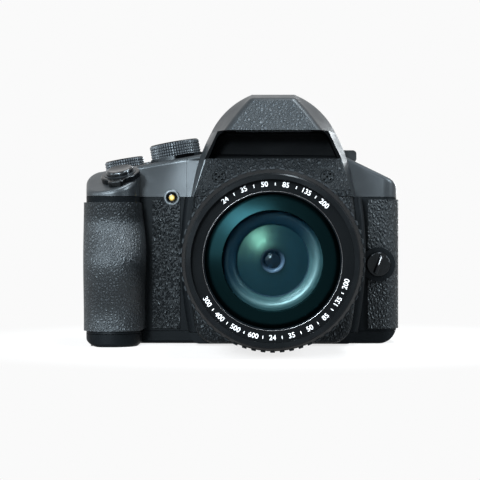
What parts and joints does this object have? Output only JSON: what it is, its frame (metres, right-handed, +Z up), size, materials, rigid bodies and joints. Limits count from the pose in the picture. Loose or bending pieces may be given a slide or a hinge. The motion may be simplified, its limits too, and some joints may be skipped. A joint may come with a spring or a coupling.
{
  "type": "bridge camera",
  "caption": "Black bridge camera with a telescoping zoom lens, deep rubber grip, pop-up flash hump, tilting rear screen, dials and buttons.",
  "frame": {"origin": "mouth of the tripod socket, directly below the lens axis, on the base plane", "axes": "-Y towards the subject, +X towards the viewer's left (right in the picture), +Z up"},
  "size_m": [0.1352, 0.1481, 0.1066],
  "materials": {
    "shell": "fine matte",
    "grain": "grained",
    "grip": "grained",
    "gloss": "gloss",
    "barrel": "black anodised",
    "ribbed": "ribbed",
    "steel": "satin",
    "black_metal": "black anodised",
    "optic": "coated",
    "window": "clear",
    "lamp": "amber",
    "sheet": "plain",
    "board": "solder mask",
    "sensor": "gloss",
    "cell": "wrapped"
  },
  "bodies": {
    "body": {"front_cover": "shell", "front_panel": "grain", "rear_cover": "shell", "top_cover": "shell", "bottom_cover": "shell", "grip_rubber": "grip", "body_leather": "grain", "thumb_rest": "grip", "hot_shoe": "steel", "eyecup": "grip", "eyepiece_lens": "window", "evf_module": "gloss", "af_lamp_lens": "lamp", "strap_lugs": "steel", "tripod_socket": "steel", "base_screws": "steel", "chassis": "sheet", "image_sensor": "sensor", "main_board": "board", "battery": "cell", "lens_mount_ring": "barrel", "fixed_barrel": "barrel", "guide_tube": "barrel", "iris_unit": "barrel", "rear_lens_group": "barrel"},
    "focus": {"focus_ring": "ribbed"},
    "zoom": {"zoom_ring": "barrel", "zoom_rubber": "ribbed"},
    "middle": {"middle_barrel": "barrel"},
    "front": {"front_barrel": "barrel", "name_ring": "gloss", "front_cell": "barrel", "front_element": "optic", "second_element": "optic"},
    "zoom_group": {"variator_carrier": "barrel", "variator_lens": "optic"},
    "shutter": {"shutter_button": "black_metal"},
    "lever": {"power_lever": "black_metal"},
    "mode": {"mode_dial": "black_metal"},
    "command": {"command_dial": "black_metal"},
    "deck_button_1": {"fn_button_1": "gloss"},
    "deck_button_2": {"fn_button_2": "gloss"},
    "flash_release": {"flash_release_button": "gloss"},
    "flash": {"flash_head": "shell", "flash_window": "window"},
    "selector": {"focus_selector": "gloss"},
    "diopter": {"diopter_dial": "gloss"},
    "bracket": {"lcd_bracket": "sheet"},
    "screen": {"lcd_frame": "shell", "lcd_glass": "gloss"},
    "battery_lid": {"battery_door": "shell"},
    "card_lid": {"card_door": "shell"},
    "terminal_lid": {"terminal_door": "shell"},
    "pad": {"four_way_pad": "gloss"},
    "centre_key": {"ok_button": "gloss"},
    "lock_key": {"ae_lock_button": "gloss"},
    "movie_key": {"movie_button": "gloss"},
    "display_key": {"display_button": "gloss"},
    "play_key": {"playback_button": "gloss"}
  },
  "joints": [
    {"name": "zoom_turn", "type": "hinge", "parent": "body", "child": "zoom", "pos_m": [0, -0.0552, 0.0374], "axis": [0, -1, 0], "range_deg": [0, 90]},
    {"name": "middle_slide", "type": "slide", "parent": "body", "child": "middle", "axis": [0, -1, 0], "range_m": [0, 0.02]},
    {"name": "front_slide", "type": "slide", "parent": "middle", "child": "front", "axis": [0, -1, 0], "range_m": [0, 0.0221]},
    {"name": "zoom_group_slide", "type": "slide", "parent": "body", "child": "zoom_group", "axis": [0, 1, 0], "range_m": [0, 0.0251]},
    {"name": "focus_turn", "type": "hinge", "parent": "body", "child": "focus", "pos_m": [0, -0.036, 0.0374], "axis": [0, -1, 0], "continuous": true},
    {"name": "flash_lift", "type": "hinge", "parent": "body", "child": "flash", "pos_m": [0, 0.001, 0.1016], "axis": [-1, 0, 0], "range_deg": [0, 60]},
    {"name": "bracket_tilt", "type": "hinge", "parent": "body", "child": "bracket", "pos_m": [0, 0.0265, 0.0098], "axis": [-1, 0, 0], "range_deg": [0, 45]},
    {"name": "screen_tilt", "type": "hinge", "parent": "bracket", "child": "screen", "pos_m": [0, 0.0254, 0.0565], "axis": [1, 0, 0], "range_deg": [0, 90]},
    {"name": "mode_turn", "type": "hinge", "parent": "body", "child": "mode", "pos_m": [-0.04243, 0.003, 0.0809], "axis": [-0.1736, 0, 0.9848], "continuous": true},
    {"name": "command_turn", "type": "hinge", "parent": "body", "child": "command", "pos_m": [-0.065, 0.008, 0.0753], "axis": [-0.1736, 0, 0.9848], "continuous": true},
    {"name": "power_turn", "type": "hinge", "parent": "body", "child": "lever", "pos_m": [-0.06417, -0.0258, 0.07062], "axis": [-0.1642, -0.3256, 0.9312], "range_deg": [0, 35]},
    {"name": "selector_turn", "type": "hinge", "parent": "body", "child": "selector", "pos_m": [0.0449, -0.013, 0.0341], "axis": [0, -1, 0], "range_deg": [-35, 35]},
    {"name": "diopter_turn", "type": "hinge", "parent": "body", "child": "diopter", "pos_m": [-0.017, 0.03, 0.0886], "axis": [-1, 0, 0], "range_deg": [-150, 150]},
    {"name": "battery_lid_swing", "type": "hinge", "parent": "body", "child": "battery_lid", "pos_m": [-0.0677, 0.0028, 0.0011], "axis": [1, 0, 0], "range_deg": [0, 90]},
    {"name": "card_lid_swing", "type": "hinge", "parent": "body", "child": "card_lid", "pos_m": [-0.0796, 0.0106, 0.014], "axis": [0, 0, 1], "range_deg": [0, 90]},
    {"name": "terminal_lid_swing", "type": "hinge", "parent": "body", "child": "terminal_lid", "pos_m": [0.0526, 0.0106, 0.016], "axis": [0, 0, -1], "range_deg": [0, 90]},
    {"name": "shutter_press", "type": "slide", "parent": "body", "child": "shutter", "axis": [0.1642, 0.3256, -0.9312], "range_m": [0, 0.0012], "stiffness_N_per_m": 300},
    {"name": "deck_button_1_press", "type": "slide", "parent": "body", "child": "deck_button_1", "axis": [0.1736, 0, -0.9848], "range_m": [0, 0.0008], "stiffness_N_per_m": 300},
    {"name": "deck_button_2_press", "type": "slide", "parent": "body", "child": "deck_button_2", "axis": [0.1736, 0, -0.9848], "range_m": [0, 0.0008], "stiffness_N_per_m": 300},
    {"name": "flash_release_press", "type": "slide", "parent": "body", "child": "flash_release", "axis": [-1, 0, 0], "range_m": [0, 0.001], "stiffness_N_per_m": 300},
    {"name": "lock_key_press", "type": "slide", "parent": "body", "child": "lock_key", "axis": [0, -1, 0], "range_m": [0, 0.0008], "stiffness_N_per_m": 300},
    {"name": "movie_key_press", "type": "slide", "parent": "body", "child": "movie_key", "axis": [0, -1, 0], "range_m": [0, 0.0008], "stiffness_N_per_m": 300},
    {"name": "display_key_press", "type": "slide", "parent": "body", "child": "display_key", "axis": [0, -1, 0], "range_m": [0, 0.0008], "stiffness_N_per_m": 300},
    {"name": "play_key_press", "type": "slide", "parent": "body", "child": "play_key", "axis": [0, -1, 0], "range_m": [0, 0.0008], "stiffness_N_per_m": 300},
    {"name": "pad_press", "type": "slide", "parent": "body", "child": "pad", "axis": [0, -1, 0], "range_m": [0, 0.0008], "stiffness_N_per_m": 300},
    {"name": "centre_key_press", "type": "slide", "parent": "body", "child": "centre_key", "axis": [0, -1, 0], "range_m": [0, 0.0008], "stiffness_N_per_m": 300}
  ],
  "couplings": [
    {"joint": "zoom_turn", "follows": "middle_slide", "rad_per_m": 78.54},
    {"joint": "front_slide", "follows": "middle_slide", "ratio": 1.1},
    {"joint": "zoom_group_slide", "follows": "middle_slide", "ratio": 1.25}
  ]
}
